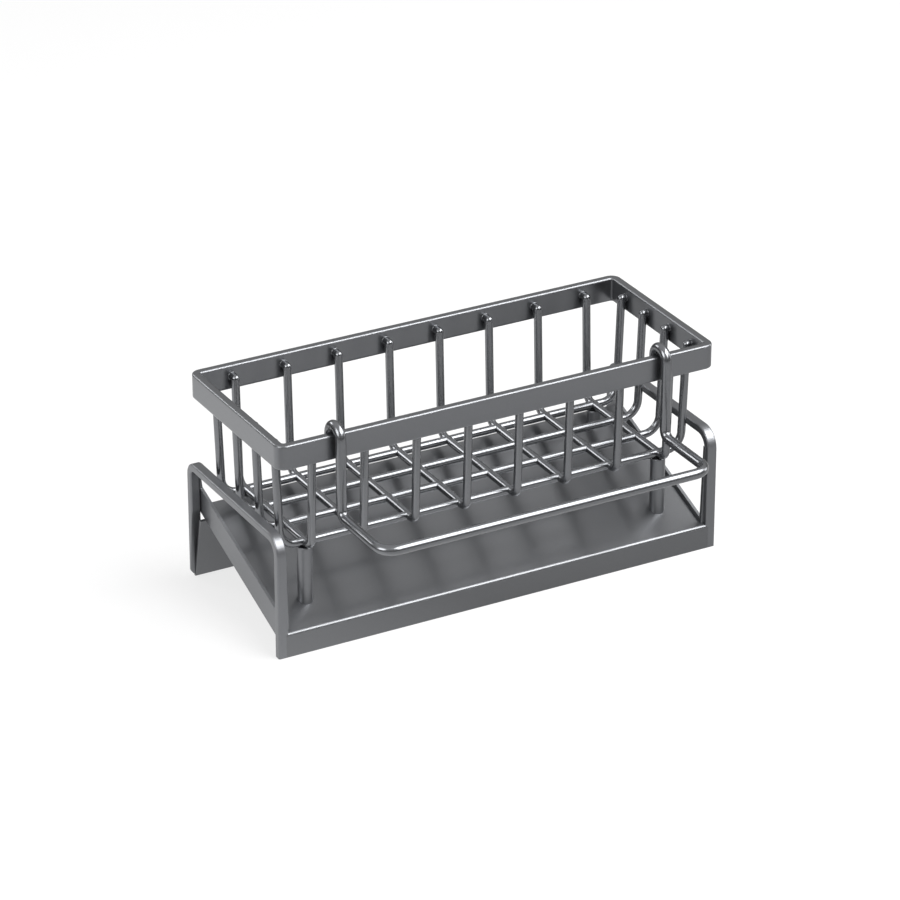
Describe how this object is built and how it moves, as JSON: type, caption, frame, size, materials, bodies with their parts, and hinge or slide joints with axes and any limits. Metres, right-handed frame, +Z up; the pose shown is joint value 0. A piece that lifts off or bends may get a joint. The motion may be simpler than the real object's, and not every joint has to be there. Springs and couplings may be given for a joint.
{
  "type": "sponge holder",
  "caption": "Wire sponge basket that lifts off a stand with a sloping drip tray, and a dish cloth rail hooked over the basket's rim.",
  "frame": {"origin": "centre of the whole holder's outline seen from above, cloth rail included, on the worktop", "axes": "+Z up, X along the length, the front with the cloth rail faces -Y"},
  "size_m": [0.234, 0.1398, 0.1131],
  "materials": {
    "basket": "satin",
    "stand": "satin",
    "rail": "satin"
  },
  "bodies": {
    "stand": {"left_end_frame": "stand", "right_end_frame": "stand", "drip_tray": "stand", "left_side_plate": "stand", "right_side_plate": "stand", "front_left_post": "stand", "front_right_post": "stand", "back_left_post": "stand", "back_right_post": "stand"},
    "basket": {"rim_band": "basket", "cross_wire_1": "basket", "cross_wire_2": "basket", "cross_wire_3": "basket", "cross_wire_4": "basket", "cross_wire_5": "basket", "cross_wire_6": "basket", "cross_wire_7": "basket", "cross_wire_8": "basket", "lengthwise_wire_1": "basket", "lengthwise_wire_2": "basket", "lengthwise_wire_3": "basket", "lengthwise_wire_4": "basket"},
    "rail": {"towel_rail": "rail"}
  },
  "joints": [
    {"name": "basket_lift", "type": "slide", "parent": "stand", "child": "basket", "axis": [0, 0, 1], "range_m": [0, 0.08]},
    {"name": "rail_lift", "type": "slide", "parent": "basket", "child": "rail", "axis": [0, 0, 1], "range_m": [0, 0.03]}
  ]
}
